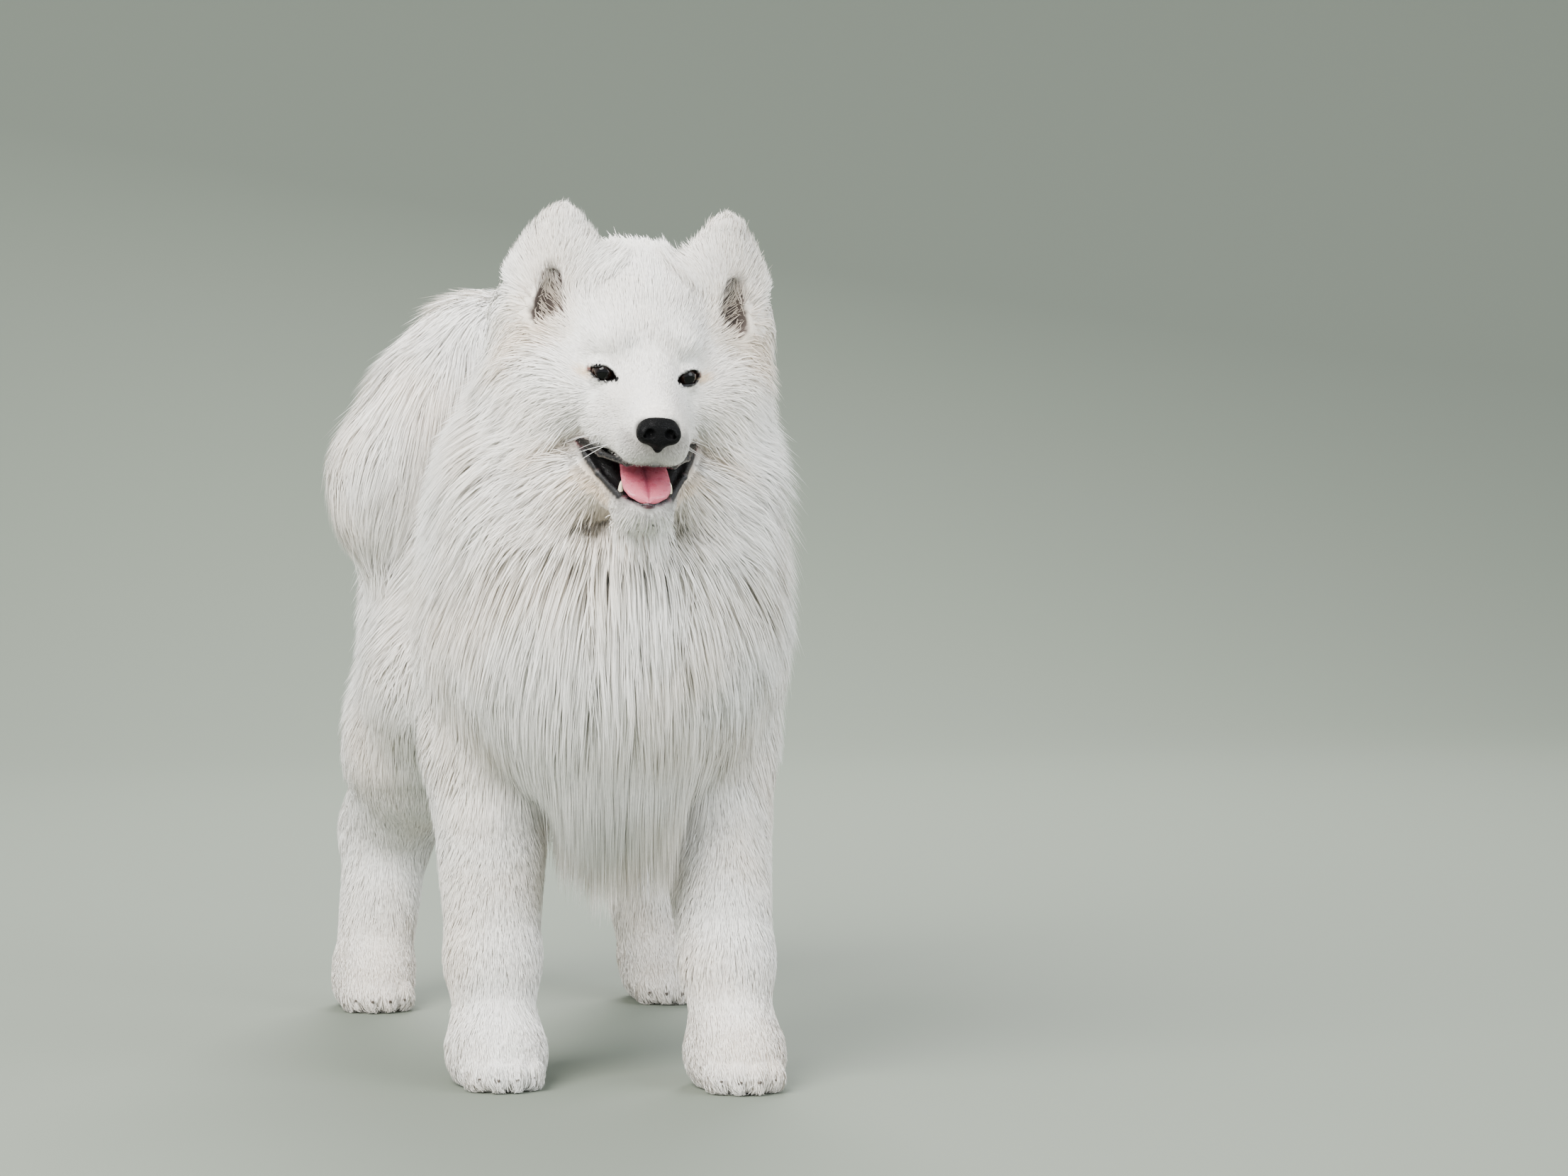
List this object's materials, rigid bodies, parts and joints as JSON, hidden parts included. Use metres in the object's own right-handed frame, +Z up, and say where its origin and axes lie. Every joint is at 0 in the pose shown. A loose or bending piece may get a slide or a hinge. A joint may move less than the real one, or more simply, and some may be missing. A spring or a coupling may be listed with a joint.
{
  "type": "dog",
  "caption": "Life-size still model of a white samoyed standing square, head up, mouth open with the tongue showing, ears pricked, thick coat and plumed tail curled over its back",
  "frame": {"origin": "on the floor, at the middle of the base of the dog's bounding box, between its four feet", "axes": "X to the dog's left, Y from its nose to its rump, Z up; the dog faces -Y"},
  "size_m": [0.4038, 0.8822, 0.7761],
  "materials": {
    "coat": "long soft white fur with cream and grey shade, matte",
    "nose_leather": "black pebbled nose leather, slightly moist",
    "eye": "wet dark brown eye, glossy",
    "tongue": "wet pink tongue, satin",
    "tooth": "ivory enamel, glossy"
  },
  "bodies": {
    "root": {"lower_jaw": "coat", "head": "coat", "nose": "nose_leather", "tongue": "tongue", "eye_left": "eye", "tooth_left": "tooth", "eye_right": "eye", "tooth_right": "tooth", "ear_left": "coat", "ear_right": "coat", "forepaw_left": "coat", "hindpaw_left": "coat", "foreleg_left": "coat", "hindleg_left": "coat", "forepaw_right": "coat", "hindpaw_right": "coat", "foreleg_right": "coat", "hindleg_right": "coat", "rump": "coat", "chest": "coat", "neck": "coat", "tail_tip": "coat", "tail_base": "coat"}
  },
  "joints": []
}
